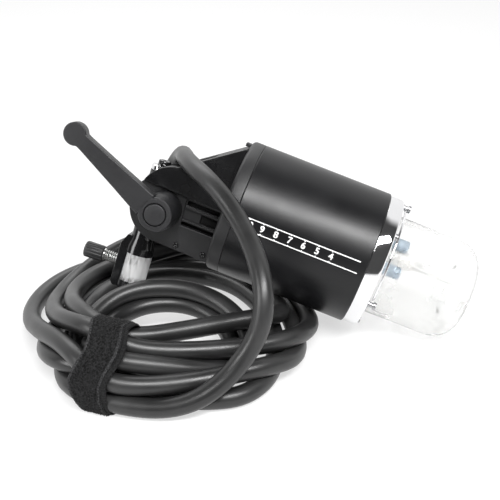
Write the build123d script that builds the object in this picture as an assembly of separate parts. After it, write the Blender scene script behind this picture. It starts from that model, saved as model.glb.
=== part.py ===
"""Studio flash lamp head with its lamp cable, as it lies on a table.

Millimetres, +Z up, the table at z = 0. The head is drawn square in its own frame, with +X along the beam,
+Z up through the head and -Y towards the lever, and the origin on the barrel's axis at the seam between
barrel and rear cap. head_place then lays it down as it rests. The cable is drawn directly in the row frame.
"""
import os
from math import cos, hypot, pi, radians, sin, tan

from build123d import *

# ---- driving dimensions ------------------------------------------------------------------------------
BARREL_R = 50.0            # reflectors clamp on this diameter
BARREL_WALL = 2.5
BARREL_LENGTH = 98.0
CAP_LENGTH = 10.0
RING_R = 49.3
RING_LENGTH = 11.0
RING_BORE_R = 40.2
DOME_R = 37.0
DOME_WALL = 2.0
DOME_REACH = 68.0          # from the ring's face to the dome's end
DOME_CORNER = 19.0

PIVOT_X = -53.0            # tilt axis, parallel to Y
PIVOT_Z = -18.0
SLOT_HALF = 11.0           # half the gap between the cheeks
CHEEK = 6.0
WEDGE = 3.0
CHEEK_END_R = 26.0
SLOPE_TOP = (-10.0, 45.7)  # the sloping top edge, at the cap
SLOPE_LOW = (-53.2, 14.5)  # and where its rounded end begins
WEDGE_APEX = (-73.8, -3.2)
WEDGE_ARC = (-66.2, 8.3)
RECESS = (-40.0, -10.0, -25.5, -5.4)   # x from, x to, z from, z to of the vent recess

TUBE_LEAN = 3.3            # the stand tube's lean in the head's frame
TUBE_BACK = 11.7           # how far its axis passes behind the pivot
TUBE_R = 8.8
TUBE_TOP = 28.3            # along the tube, from the pivot's level
SHOULDER_FROM = 29.0       # below the pivot's level
SHOULDER_TO = 37.0
RECEIVER_END = 71.0
RECEIVER_R = 10.7
STUD_BORE_R = 8.1          # for a 5/8 inch stud
STUD_BORE_LENGTH = 34.0
RIB_HALF = 6.3
RIB_OUT = 14.3
LOCK_LEVEL = 52.0          # the lock screw, below the pivot's level
SCREW_R = 3.0
KNOB_R = 6.2
KNOB_LENGTH = 15.0
KNOB_FROM = 25.5           # from the tube's axis, outwards
SPRING_R = 4.2
SPRING_SUNK = 3.0          # the spring starts that deep in the receiver's rib

LEVER_FACE = 49.0          # the lever's outer face, from the head's middle plane
LEVER_THICK = 9.0
LEVER_REACH = 79.0
LEVER_ANGLE = 155.5        # from +X towards +Z
HUB_R = 12.3
LEVER_END_R = 8.4

CABLE_R = 6.75
GLAND_AT = (30.0, -26.0)   # y, z of the cable's way out of the rear cap
GLAND_END = -16.0
RELIEF_END = -36.0

HEAD_AT = (-23.75, 9.8, 84.95)
PITCH = 18.0
YAW = 12.3
ROLL = 16.4

head_place = (
    Location(HEAD_AT)
    * Location((0, 0, 0), (0, 0, -YAW))
    * Location((0, 0, 0), (0, PITCH, 0))
    * Location((0, 0, 0), (-ROLL, 0, 0))
)
tube_place = Location((PIVOT_X, 0, PIVOT_Z), (0, -TUBE_LEAN, 0)) * Location((-TUBE_BACK, 0, 0))
# the tube's own frame: +Z up the tube, -X away from the barrel, z = 0 level with the pivot

nodes = {}
cord_nodes = []


def keep(name, shape, place=None):
    """Files one sub-part under its node's name, laid down with the head unless told otherwise."""
    nodes[name] = (place or head_place) * shape


def along_x(radius, x_from, x_to, y=0.0, z=0.0):
    """A round bar along X."""
    bar = Cylinder(radius, x_to - x_from, rotation=(0, 90, 0))
    return Pos((x_from + x_to) / 2, y, z) * bar


def along_y(radius, y_from, y_to, x=0.0, z=0.0):
    """A round bar along Y."""
    bar = Cylinder(radius, y_to - y_from, rotation=(90, 0, 0))
    return Pos(x, (y_from + y_to) / 2, z) * bar


def ring_x(outer, inner, x_from, x_to, y=0.0, z=0.0):
    """A round tube along X."""
    return along_x(outer, x_from, x_to, y, z) - along_x(inner, x_from - 1, x_to + 1, y, z)


def side_plate(outline, y_from, y_to):
    """A plate parallel to the middle plane from a closed outline of (x, z) points or a face in X and Z."""
    thickness = y_to - y_from
    face = Plane.XZ * outline
    return Pos(0, y_from, 0) * extrude(face, thickness, dir=(0, 1, 0))


def polar(radius, angle):
    """Y and Z of a point at that radius and angle round the beam, from -Y towards +Z."""
    return -radius * cos(radians(angle)), radius * sin(radians(angle))


# ---- barrel, rear cap and front ring -----------------------------------------------------------------
RING_FACE = BARREL_LENGTH + RING_LENGTH
PLATE_FROM = BARREL_LENGTH + 3.0
PLATE_TO = BARREL_LENGTH + 6.0

barrel = ring_x(BARREL_R, BARREL_R - BARREL_WALL, 0.0, BARREL_LENGTH)
barrel = chamfer(barrel.edges().filter_by(GeomType.CIRCLE).group_by(SortBy.RADIUS)[-1], 0.35)
keep("barrel_tube", barrel)

cap = along_x(BARREL_R, -CAP_LENGTH, 0.0)
cap = fillet(cap.edges().filter_by(GeomType.CIRCLE).sort_by(Axis.X)[0], 2.6)
cap += along_x(BARREL_R - BARREL_WALL, 0.0, 8.0)
cap -= along_x(BARREL_R - BARREL_WALL - 2.4, -CAP_LENGTH + 3.0, 9.0)
for side in (-1, 1):
    for level in (-1, 1):
        cap += along_x(3.0, -CAP_LENGTH + 2.0, 12.0, side * 25.0, level * 25.0)
for row in range(4):
    cap -= Pos(-CAP_LENGTH, 0, -7.5 - 5.5 * row) * Box(12, 18, 2.6)
cap -= along_x(CABLE_R + 0.3, -CAP_LENGTH - 2, -CAP_LENGTH + 4, *GLAND_AT)
keep("rear_cap", cap)

ring = ring_x(RING_R, RING_BORE_R, BARREL_LENGTH, RING_FACE)
ring = fillet(ring.edges().filter_by(GeomType.CIRCLE).filter_by(lambda e: e.radius > 45).sort_by(Axis.X)[-1], 1.6)
ring += ring_x(BARREL_R - BARREL_WALL, 44.4, BARREL_LENGTH - 8, BARREL_LENGTH)
ring += ring_x(45.0, RING_BORE_R, BARREL_LENGTH - 1, BARREL_LENGTH + 1)
ring -= along_x(43.5, BARREL_LENGTH - 2, PLATE_TO)
keep("front_ring", ring)

# ---- what the barrel holds ---------------------------------------------------------------------------
ROD_R = 2.5
ROD_AT = 40.0
ROD_ANGLES = (90, 210, 330)
BOARD_FROM = 84.0
BOARD_TO = 86.0
TUBE_SOCKETS = ((-4.0, 18.5), (-16.5, 0.5))      # y, z of the flash tube's two ends
LAMP_Z = 8.0

plate = along_x(43.5, PLATE_FROM, PLATE_TO)
plate -= along_x(6.0, PLATE_FROM - 1, PLATE_TO + 1, 14, -16)
keep("mounting_plate", plate)

board = along_x(42.0, BOARD_FROM, BOARD_TO)
rods = []
for angle in ROD_ANGLES:
    y, z = polar(ROD_AT, angle)
    board -= along_x(ROD_R, BOARD_FROM - 1, BOARD_TO + 1, y, z)
    rods.append(along_x(ROD_R, -CAP_LENGTH + 3.0, PLATE_FROM, y, z))
board -= along_x(9.0, BOARD_FROM - 1, BOARD_TO + 1, 0, -22)
keep("terminal_board", board)
keep("tie_rods", Compound(children=rods))

coil_core = along_x(11.0, 52.0, BOARD_FROM, 12.0, 10.0)
coil_core += along_x(13.0, 56.0, 60.0, 12.0, 10.0) + along_x(13.0, 74.0, 78.0, 12.0, 10.0)
keep("trigger_coil", coil_core)

FAN_FROM = 12.0
FAN_DEPTH = 15.0
frame = Pos(FAN_FROM + FAN_DEPTH / 2, 0, 0) * Box(FAN_DEPTH, 60, 60)
frame = fillet(frame.edges().filter_by(Axis.X), 4)
frame -= along_x(28.0, FAN_FROM + 3, FAN_FROM + FAN_DEPTH + 1)
frame -= ring_x(28.0, 12.0, FAN_FROM - 1, FAN_FROM + 4)
for angle in (30, 150, 270):
    strut = Pos(FAN_FROM + 1.5, 0, 20.0) * Box(3, 4, 18)
    frame += Rot(angle, 0, 0) * strut
frame -= along_x(1.6, FAN_FROM - 1, FAN_FROM + 4)
keep("fan_frame", frame)

rotor = along_x(11.0, FAN_FROM + 3.6, FAN_FROM + FAN_DEPTH - 1)
rotor += along_x(1.5, FAN_FROM + 0.5, FAN_FROM + 4.0)
blade = Pos(FAN_FROM + 8.5, 0, 18.5) * Rot(0, 0, 38) * Box(10.5, 1.3, 17)
blade &= ring_x(27.0, 9.0, FAN_FROM + 4.2, FAN_FROM + FAN_DEPTH - 1.2)
for step in range(7):
    rotor += Rot(360 / 7 * step, 0, 0) * blade
keep("fan_rotor", rotor)

# ---- dome, lamp and flash tube -----------------------------------------------------------------------
DOME_END = RING_FACE + DOME_REACH
shell = along_x(DOME_R, PLATE_TO, DOME_END)
shell = fillet(shell.edges().filter_by(GeomType.CIRCLE).sort_by(Axis.X)[-1], DOME_CORNER)
hollow = along_x(DOME_R - DOME_WALL, PLATE_TO - 1, DOME_END - DOME_WALL)
hollow = fillet(hollow.edges().filter_by(GeomType.CIRCLE).sort_by(Axis.X)[-1], DOME_CORNER - DOME_WALL)
bead = ring_x(RING_BORE_R - 0.4, DOME_R - 1.0, PLATE_TO, PLATE_TO + 3)
keep("glass_dome", shell + bead - hollow)

LAMP_R = 4.0
lamp_socket = along_x(6.5, PLATE_TO, PLATE_TO + 28, 0, LAMP_Z)
lamp_socket = chamfer(lamp_socket.edges().filter_by(GeomType.CIRCLE).sort_by(Axis.X)[-1], 1.2)
keep("lamp_socket", lamp_socket)
lamp = along_x(LAMP_R, PLATE_TO + 28, PLATE_TO + 62, 0, LAMP_Z)
lamp = fillet(lamp.edges().filter_by(GeomType.CIRCLE).sort_by(Axis.X)[-1], LAMP_R - 0.2)
keep("modelling_lamp", lamp)

SOCKET_TO = PLATE_TO + 20
caps = [along_x(4.6, PLATE_TO, SOCKET_TO, y, z) for y, z in TUBE_SOCKETS]
caps = [chamfer(c.edges().filter_by(GeomType.CIRCLE).sort_by(Axis.X)[-1], 0.8) for c in caps]
keep("tube_sockets", Compound(children=caps))

GLOW_R = 3.6
GLOW_RING_R = 17.5
GLOW_X = PLATE_TO + 54
glow = Pos(GLOW_X, 0, 0) * Rot(0, 90, 0) * Rot(0, 0, 50) * Torus(GLOW_RING_R, GLOW_R)
for y, z in TUBE_SOCKETS:
    reach = GLOW_RING_R / hypot(y, z)
    glow += along_x(GLOW_R - 0.4, SOCKET_TO, GLOW_X - 1.0, y * reach, z * reach)
keep("flash_tube", glow)

POST_AT = 44.5
POST_ANGLES = (90, -32, 212)
POST_END = RING_FACE + 6.0
posts = []
for angle in POST_ANGLES:
    y, z = polar(POST_AT, angle)
    post = along_x(1.9, RING_FACE, POST_END - 2.0, y, z) + along_x(2.9, POST_END - 2.0, POST_END, y, z)
    posts.append(post - Pos(POST_END, y, z) * Box(1.2, 0.8, 8))
for angle in (-76, 38, 154):
    y, z = polar(POST_AT, angle)
    posts.append(along_x(2.6, RING_FACE, RING_FACE + 2.0, y, z) - Pos(RING_FACE + 2, y, z) * Box(1.4, 0.8, 8))
keep("dome_posts", Compound(children=posts))

WIRE_R = 0.9
WIRE_X = RING_FACE + 2.4
wires = []
for first, last in ((84.5, -26.5), (95.5, 206.5)):
    half = (first + last) / 2
    ends = [polar(POST_AT - 1.0, a) for a in (first, half, last)]
    arc = ThreePointArc(*[(WIRE_X, y, z) for y, z in ends])
    wires.append(sweep(Plane(arc @ 0, z_dir=arc % 0) * Circle(WIRE_R), path=arc))
keep("dome_wires", Compound(children=wires))

# ---- rear housing ------------------------------------------------------------------------------------
SWEEP_R = 41.0             # what the adapter's top needs round the pivot
slope = (SLOPE_TOP[1] - SLOPE_LOW[1]) / (SLOPE_TOP[0] - SLOPE_LOW[0])


def slope_z(x):
    """Height of the sloping top edge."""
    return SLOPE_LOW[1] + slope * (x - SLOPE_LOW[0])


upper = make_face(Polyline(SLOPE_TOP, (-31.0, slope_z(-31.0)), (-31.0, -3.0), (-10.0, -3.0), SLOPE_TOP))
web = side_plate(upper, -SLOT_HALF, SLOT_HALF)
web += side_plate(make_face(Polyline((-10, -3), (-14, -3), (-18, -44), (-10, -44), (-10, -3))), -SLOT_HALF, SLOT_HALF)
web -= along_y(SWEEP_R - 13.0, -30, 30, PIVOT_X, PIVOT_Z)
web -= Pos(-31, 0, -3) * Box(18, 40, 20)
keep("housing_web", web)

wedge_line = [
    Line((-10.0, slope_z(-10.0)), (-10.0, -5.2)),
    Line((-10.0, -5.2), (-51.0, -3.8)),
    Line((-51.0, -3.8), WEDGE_APEX),
    ThreePointArc(WEDGE_APEX, WEDGE_ARC, SLOPE_LOW),
    Line(SLOPE_LOW, SLOPE_TOP),
]
wedge_face = make_face(Curve() + wedge_line)
lower_face = make_face(
    Polyline((-10, -5.2), (-51, -3.8), WEDGE_APEX, (PIVOT_X, PIVOT_Z), (PIVOT_X, -44.0), (-10, -44.6), (-10, -5.2))
)
cheek_face = wedge_face + lower_face + Pos(PIVOT_X, PIVOT_Z) * Circle(CHEEK_END_R)
cheek_face -= Pos(PIVOT_X, PIVOT_Z) * Circle(6.2)
x0, x1, z0, z1 = RECESS
slots = [
    Pos(-24.5, -8.0) * Rectangle(27, 3.4),
    Pos(-18.5, -16.3) * Rectangle(13, 6.6),
    Pos(-24.5, -23.8) * Rectangle(27, 2.4),
]

for name, side in (("near", -1), ("far", 1)):
    inner = side * SLOT_HALF
    outer = side * (SLOT_HALF + CHEEK)
    low, high = min(inner, outer), max(inner, outer)
    cheek = side_plate(cheek_face, low, high)
    for slot in slots:
        cheek -= side_plate(slot, low - 1, high + 1)
    cheek -= Pos((x0 + x1) / 2, outer, (z0 + z1) / 2) * Box(x1 - x0 + 2, 5.0, z1 - z0)
    rim = cheek.faces().sort_by(Axis.Y)[0 if side < 0 else -1].outer_wire().edges()
    cheek = fillet([e for e in rim if e.center().Z < -27 or e.center().X < -55], 1.6)
    keep("cheek_" + name, cheek)

    bars = []
    for level, height in ((-11.4, 1.8), (-21.2, 1.6)):
        bars.append(Pos(-24.0, side * (SLOT_HALF + CHEEK - 1.6), level) * Box(26, 1.8, height))
    keep("vents_" + name, Compound(children=bars))

    face_at = side * (SLOT_HALF + CHEEK + WEDGE)
    low, high = min(outer, face_at), max(outer, face_at)
    wedge = side_plate(wedge_face, low, high)
    wedge -= along_y(HUB_R + 1.8, -80, 80, PIVOT_X, PIVOT_Z)
    rim = wedge.faces().sort_by(Axis.Y)[0 if side < 0 else -1].outer_wire().edges()
    wedge = fillet(rim, 1.1)
    keep("wedge_" + name, wedge)

screws = []
for side in (-1, 1):
    seat = side * (SLOT_HALF + CHEEK)
    for x, z in ((-14.5, -40.0), (-36.0, -40.5)):
        head = along_y(2.2, min(seat, seat + side * 1.4), max(seat, seat + side * 1.4), x, z)
        screws.append(head - Pos(x, seat + side * 1.6, z) * Box(3.2, 1.6, 0.7))
keep("cover_screws", Compound(children=screws))

gland_place = Location((-CAP_LENGTH, *GLAND_AT), (0, -90, 0))   # +Z along the way out
gland_length = -CAP_LENGTH - GLAND_END
gland = extrude(RegularPolygon(9.4, 6), gland_length - 2.0)
gland += Pos(0, 0, gland_length - 1.0) * Cylinder(8.2, 2.0)
gland -= Cylinder(CABLE_R, 60)
keep("cable_gland", gland, head_place * gland_place)

relief_length = GLAND_END - RELIEF_END
relief = Pos(0, 0, gland_length + relief_length / 2) * Cone(8.2, CABLE_R + 0.7, relief_length)
relief += Pos(0, 0, gland_length / 2) * Cylinder(CABLE_R, gland_length)
keep("strain_relief", relief, head_place * gland_place)

# ---- stand adapter -----------------------------------------------------------------------------------
LUG_R = 13.5
LUG_HALF = 9.5
DISC_THICK = SLOT_HALF - LUG_HALF
BOLT_R = 4.0

tube = Pos(0, 0, (TUBE_TOP - 5 - SHOULDER_FROM) / 2) * Cylinder(TUBE_R, TUBE_TOP - 5 + SHOULDER_FROM)
tube += Pos(0, 0, -(SHOULDER_FROM + SHOULDER_TO) / 2) * Cone(RECEIVER_R, TUBE_R, SHOULDER_TO - SHOULDER_FROM)
tube += Pos(0, 0, -(SHOULDER_TO + RECEIVER_END) / 2) * Cylinder(RECEIVER_R, RECEIVER_END - SHOULDER_TO)
rib_outline = Polyline(
    (0, -SHOULDER_FROM), (-10.5, -SHOULDER_FROM), (-RIB_OUT, -SHOULDER_TO), (-RIB_OUT, -RECEIVER_END + 2.5),
    (-RIB_OUT + 2.5, -RECEIVER_END), (0, -RECEIVER_END), (0, -SHOULDER_FROM),
)
tube += side_plate(make_face(rib_outline), -RIB_HALF, RIB_HALF)
lug = along_y(LUG_R, -LUG_HALF, LUG_HALF, TUBE_BACK, 0)
lug += Pos(TUBE_BACK / 2, 0, 0) * Box(TUBE_BACK, 2 * LUG_HALF - 3, 2 * LUG_R - 4)
tube += lug
tube -= along_y(BOLT_R + 0.05, -30, 30, TUBE_BACK, 0)
tube -= Pos(0, 0, -RECEIVER_END + STUD_BORE_LENGTH / 2) * Cylinder(STUD_BORE_R, STUD_BORE_LENGTH)
tube -= along_x(SCREW_R + 0.05, -RIB_OUT - 2, -STUD_BORE_R + 2, 0, -LOCK_LEVEL)
tube -= along_x(SPRING_R + 0.4, -RIB_OUT - 2, -RIB_OUT + SPRING_SUNK, 0, -LOCK_LEVEL)
keep("stand_adapter", tube, head_place * tube_place)

collar = Pos(0, 0, TUBE_TOP - 3) * Cylinder(TUBE_R, 4)
collar = chamfer(collar.edges().filter_by(GeomType.CIRCLE).sort_by(Axis.Z)[-1], 0.8)
keep("adapter_collar", collar, head_place * tube_place)
plug = Pos(0, 0, TUBE_TOP + 1) * Cylinder(4.7, 4.0)
plug = chamfer(plug.edges().filter_by(GeomType.CIRCLE).sort_by(Axis.Z)[-1], 0.6)
keep("adapter_cap", plug, head_place * tube_place)

discs = []
for side in (-1, 1):
    low = min(side * LUG_HALF, side * SLOT_HALF)
    disc = along_y(12.0, low, low + DISC_THICK, PIVOT_X, PIVOT_Z)
    discs.append(disc - along_y(BOLT_R + 0.05, -30, 30, PIVOT_X, PIVOT_Z))
keep("friction_discs", Compound(children=discs))

# ---- stand lock --------------------------------------------------------------------------------------
KNOB_TO = KNOB_FROM + KNOB_LENGTH
WASHER = 1.2
lock_place = head_place * tube_place * Location((0, 0, -LOCK_LEVEL), (0, -90, 0))   # +Z outwards
screw = Pos(0, 0, (STUD_BORE_R + 0.3 + KNOB_FROM + 3) / 2) * Cylinder(SCREW_R, KNOB_FROM + 3 - STUD_BORE_R - 0.3)
keep("lock_screw", screw, lock_place)

knob = Pos(0, 0, (KNOB_FROM + KNOB_TO) / 2) * Cylinder(KNOB_R, KNOB_LENGTH)
knob = fillet(knob.edges().filter_by(GeomType.CIRCLE).sort_by(Axis.Z)[-1], 1.2)
for step in range(12):
    flute = Pos(KNOB_R + 0.35, 0, (KNOB_FROM + KNOB_TO) / 2 + 2) * Cylinder(0.8, KNOB_LENGTH)
    knob -= Rot(0, 0, 30 * step) * flute
knob -= Pos(0, 0, KNOB_FROM + 1.5) * Cylinder(SCREW_R, 3.01)
keep("lock_knob", knob, lock_place)

washer = Pos(0, 0, KNOB_FROM - WASHER / 2) * (Cylinder(4.9, WASHER) - Cylinder(SCREW_R + 0.06, WASHER + 1))
keep("spring_washer", washer, lock_place)

SPRING_WIRE = 0.45
SPRING_TURNS = 7
spring_from = RIB_OUT - SPRING_SUNK + SPRING_WIRE + 0.1
spring_height = KNOB_FROM - WASHER - SPRING_WIRE - 0.05 - spring_from
line = Pos(0, 0, spring_from) * Helix(spring_height / SPRING_TURNS, spring_height, SPRING_R - SPRING_WIRE)
spring = sweep(Plane(line @ 0, z_dir=line % 0) * Circle(SPRING_WIRE), path=line, is_frenet=True)
keep("lock_spring", spring, lock_place)

# ---- tilt bolt, nut and lever ------------------------------------------------------------------------
CHEEK_FACE = SLOT_HALF + CHEEK
lever_place = head_place * Location((PIVOT_X, 0, PIVOT_Z))

nut = along_y(8.0, CHEEK_FACE, CHEEK_FACE + 5.5) - along_y(BOLT_R + 0.05, CHEEK_FACE - 1, CHEEK_FACE + 4.2)
nut = fillet(nut.edges().filter_by(GeomType.CIRCLE).sort_by(Axis.Y)[-1], 1.2)
nut += along_y(6.2, SLOT_HALF, CHEEK_FACE) - along_y(BOLT_R + 0.05, SLOT_HALF - 1, CHEEK_FACE + 1)
keep("tilt_nut", nut, lever_place)

bolt = along_y(BOLT_R, -LEVER_FACE + 6, CHEEK_FACE + 4.0)
keep("tilt_bolt", bolt, lever_place)

# the hub: a wide foot on the cheek, a waist and the collar that carries the arm
hub_profile = make_face(
    Curve()
    + [
        Line((0, CHEEK_FACE + 0.4), (13.6, CHEEK_FACE + 0.4)),
        Line((13.6, CHEEK_FACE + 0.4), (13.6, LEVER_FACE - LEVER_THICK - 6)),
        ThreePointArc(
            (13.6, LEVER_FACE - LEVER_THICK - 6),
            (13.0, LEVER_FACE - LEVER_THICK - 2.5),
            (HUB_R, LEVER_FACE - LEVER_THICK),
        ),
        Line((HUB_R, LEVER_FACE - LEVER_THICK), (HUB_R, LEVER_FACE - 1.2)),
        ThreePointArc((HUB_R, LEVER_FACE - 1.2), (HUB_R - 0.35, LEVER_FACE - 0.35), (HUB_R - 1.2, LEVER_FACE)),
        Line((HUB_R - 1.2, LEVER_FACE), (0, LEVER_FACE)),
        Line((0, LEVER_FACE), (0, CHEEK_FACE + 0.4)),
    ]
)
hub = Rot(90, 0, 0) * revolve(Plane.XZ * hub_profile, Axis.Z)

tip = Pos(LEVER_REACH, 0)
arm_face = make_face(
    Polyline((6, -9.6), (34, -7.6), (LEVER_REACH - 10, -5.6), (LEVER_REACH, -5.6), (LEVER_REACH, 5.6),
             (LEVER_REACH - 10, 5.6), (34, 7.6), (6, 9.6), (6, -9.6))
)
arm_face += tip * Circle(LEVER_END_R)
arm = Pos(0, -LEVER_FACE, 0) * extrude(Plane.XZ * arm_face, LEVER_THICK, dir=(0, 1, 0))
arm = fillet(arm.faces().sort_by(Axis.Y)[0].outer_wire().edges(), 0.9)
foot = Pos(0, -LEVER_FACE + LEVER_THICK, 0) * extrude(
    Plane.XZ * make_face(Polyline((0, -11.5), (26, -6), (26, 6), (0, 11.5), (0, -11.5))), 9, dir=(0, 1, 0)
)
foot = chamfer(foot.faces().sort_by(Axis.Y)[-1].edges().sort_by(Axis.X)[-1], 7)
lever = Rot(0, -LEVER_ANGLE, 0) * (arm + foot) + hub
lever -= along_y(8.5, -LEVER_FACE - 1, -LEVER_FACE + 1.6)
lever -= along_y(BOLT_R, -LEVER_FACE + 6, -CHEEK_FACE + 1)
keep("lever", lever, lever_place)

button = along_y(7.7, -LEVER_FACE - 0.4, -LEVER_FACE + 1.6)
button = fillet(button.edges().filter_by(GeomType.CIRCLE).sort_by(Axis.Y)[0], 0.7)
keep("lever_cap", button, lever_place)

collar_bush = along_y(6.2, -CHEEK_FACE - 0.3, -SLOT_HALF) - along_y(BOLT_R + 0.05, -30, 0)
keep("bolt_bush", collar_bush, lever_place)

# ---- cable -------------------------------------------------------------------------------------------
def on_head(x, y, z):
    """A point of the head's frame in the row frame."""
    at = (head_place * Location((x, y, z))).position
    return (at.X, at.Y, at.Z)


def cord_tube(points, label):
    """The plain tube of a free stretch: straight runs joined by arcs as large as the runs allow."""
    corners = [Vector(*p) for p in points]
    radii = []
    for before, at, after in zip(corners, corners[1:], corners[2:]):
        run = min((at - before).length, (after - at).length)
        turn = (at - before).get_angle(after - at)
        radii.append(0.45 * run / tan(radians(turn / 2)))
    path = FilletPolyline(*points, radius=radii)
    tube = sweep(Plane(path @ 0, z_dir=path % 0) * Circle(CABLE_R), path=path)
    print(label, "radii", [round(r) for r in radii], "length", round(path.length))
    print(label, "volume over section times length", round(tube.volume / (pi * CABLE_R**2 * path.length), 4))
    return tube


def keep_cord(name, shape):
    """Files a piece of the free cable, drawn in the row frame."""
    keep(name, shape, Location())
    cord_nodes.append(name)


STRAP_AT = (-115.0, -101.0)
STRAP_TURN = -20.0         # the strands' way through the strap
STRAP_WIDTH = 28.0
STRAP_THICK = 2.4
BUNDLE_LENGTH = 34.0
BUNDLE_IN = 27.0           # from the strap's middle to the bundle's inner side
BUNDLE_OUT = 29.0
BUNDLE_TOP = 40.0
strap_place = Location((*STRAP_AT, 0), (0, 0, STRAP_TURN))   # +X along the strands, +Y inwards


def at_strap(x, y, z):
    """A point of the strap's frame in the row frame."""
    at = (strap_place * Location((x, y, z))).position
    return (at.X, at.Y, at.Z)


# out of the cap on the far side, up over the fork, out past the barrel and down to the coil
bridge_route = [
    on_head(RELIEF_END, *GLAND_AT),
    on_head(RELIEF_END - 16.0, *GLAND_AT),
    on_head(-68.5, 32.5, -17.0),
    on_head(-74.0, 33.5, 0.0),
    on_head(-70.0, 27.0, 18.0),
    on_head(-62.0, 11.0, 30.5),
    on_head(-53.0, -11.0, 34.5),
    on_head(-43.0, -30.0, 31.5),
    (-48.0, -28.0, 127.5),
    (-34.0, -49.0, 116.5),
    (-22.0, -67.0, 104.0),
    (-12.5, -88.0, 92.0),
    (-8.0, -106.0, 82.0),
    (-8.5, -116.0, 66.0),
    (-15.0, -121.0, 47.0),
    (-28.0, -122.5, 29.0),
    (-45.0, -124.0, 14.5),
    (-65.0, -131.5, 7.2),
    at_strap(BUNDLE_LENGTH / 2 + 21.0, -22.0, 6.85),
    at_strap(BUNDLE_LENGTH / 2, -22.0, 6.85),
]
keep_cord("cable_bridge", cord_tube(bridge_route, "bridge"))

# the turns' outer shape, drawn in to the strap, with the way of the stand adapter and of a stud left clear
COIL_AT = (-82.0, -17.0)
COIL_HALF = (113.0, 101.0)
COIL_TOP = 27.0
turns = Pos(*COIL_AT, COIL_TOP / 2) * extrude(Ellipse(*COIL_HALF), COIL_TOP / 2, both=True)
turns = chamfer(turns.faces().sort_by(Axis.Z)[-1].outer_wire().edges(), 5)
turns -= Pos(-85, 18, 0) * extrude(Ellipse(46, 36), 90, both=True)
band_outer = Box(STRAP_WIDTH, BUNDLE_IN + BUNDLE_OUT + 2 * STRAP_THICK, BUNDLE_TOP + STRAP_THICK)
band_outer = fillet(band_outer.edges().filter_by(Axis.X), 9.0)
bundle_height = BUNDLE_TOP - STRAP_THICK
band_inner = Box(BUNDLE_LENGTH, BUNDLE_IN + BUNDLE_OUT, bundle_height)
band_inner = fillet(band_inner.edges().filter_by(Axis.X), 7.0)
middle = (BUNDLE_IN - BUNDLE_OUT) / 2
band_outer = strap_place * Pos(0, middle, (BUNDLE_TOP + STRAP_THICK) / 2) * band_outer
band_inner = strap_place * Pos(0, middle, STRAP_THICK + bundle_height / 2) * band_inner
turns -= strap_place * Pos(0, middle - 6, 0) * Box(BUNDLE_LENGTH, BUNDLE_IN + BUNDLE_OUT + 20, 120)
turns += band_inner

swing = [
    Line((PIVOT_X, PIVOT_Z), (PIVOT_X - 81, PIVOT_Z - 10)),
    ThreePointArc((PIVOT_X - 81, PIVOT_Z - 10), (PIVOT_X - 40, PIVOT_Z - 71.1), (PIVOT_X + 58, PIVOT_Z - 58)),
    Line((PIVOT_X + 58, PIVOT_Z - 58), (PIVOT_X, PIVOT_Z)),
]
turns -= head_place * side_plate(make_face(Curve() + swing), -12, 12)
turns -= head_place * tube_place * Pos(0, 0, -RECEIVER_END - 40) * Cylinder(STUD_BORE_R + 1.5, 90)
turns -= head_place * along_x(BARREL_R + 0.8, -20, 120)
keep_cord("cable_coil", turns)
keep_cord("strap", band_outer - band_inner)

TAIL_Z = 19.2
tail_route = [
    (-76.0, 76.0, 6.8),
    (-48.0, 84.0, 6.8),
    (-22.0, 90.0, 12.0),
    (2.0, 95.0, TAIL_Z),
    (18.0, 98.0, TAIL_Z),
]
keep_cord("cable_tail", cord_tube(tail_route, "tail"))

# ---- the cable's connector ---------------------------------------------------------------------------
PLUG_RING_R = 19.0
plug_place = Location((*tail_route[-1][:2], 0), (0, 0, 10.62)) * Location((0, 0, TAIL_Z), (0, 90, 0))
body = Pos(0, 0, 12) * Cone(CABLE_R + 1.5, 14.5, 24) + Pos(0, 0, 37) * Cylinder(14.5, 26)
body += Pos(0, 0, 51.5) * Cylinder(17.5, 3) + Pos(0, 0, 66) * Cylinder(14.5, 26)
body += Pos(0, 0, 81) * Cylinder(15.5, 4)
body -= Pos(0, 0, 78) * Cylinder(12.5, 11)
for step in range(7):
    body += Rot(0, 0, 360 / 7 * step) * Pos(7.5, 0, 75.5) * Cylinder(1.6, 11)
keep_cord("plug_body", plug_place * body)
sleeve = Pos(0, 0, 66) * (Cylinder(PLUG_RING_R, 25) - Cylinder(14.9, 26))
sleeve = chamfer(sleeve.edges().filter_by(GeomType.CIRCLE).group_by(SortBy.RADIUS)[-1], 1.2)
keep_cord("plug_ring", plug_place * sleeve)

cord_nodes.append("strain_relief")

os.makedirs("parts", exist_ok=True)
for name, shape in nodes.items():
    export_step(shape, "parts/" + name + ".step")
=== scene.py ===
"""A studio flash lamp head lying on a table on its own strapped coil of lamp cable.

Metres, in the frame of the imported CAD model. Sizes of the head's parts are in millimetres in the head's
own frame: +X along the beam, +Z up through the head, -Y towards the lever, origin on the barrel's axis at
the seam between barrel and rear cap.
"""
from math import cos, hypot, pi, radians, sin

import bmesh
import bpy
from mathutils import Matrix, Vector, noise


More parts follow.
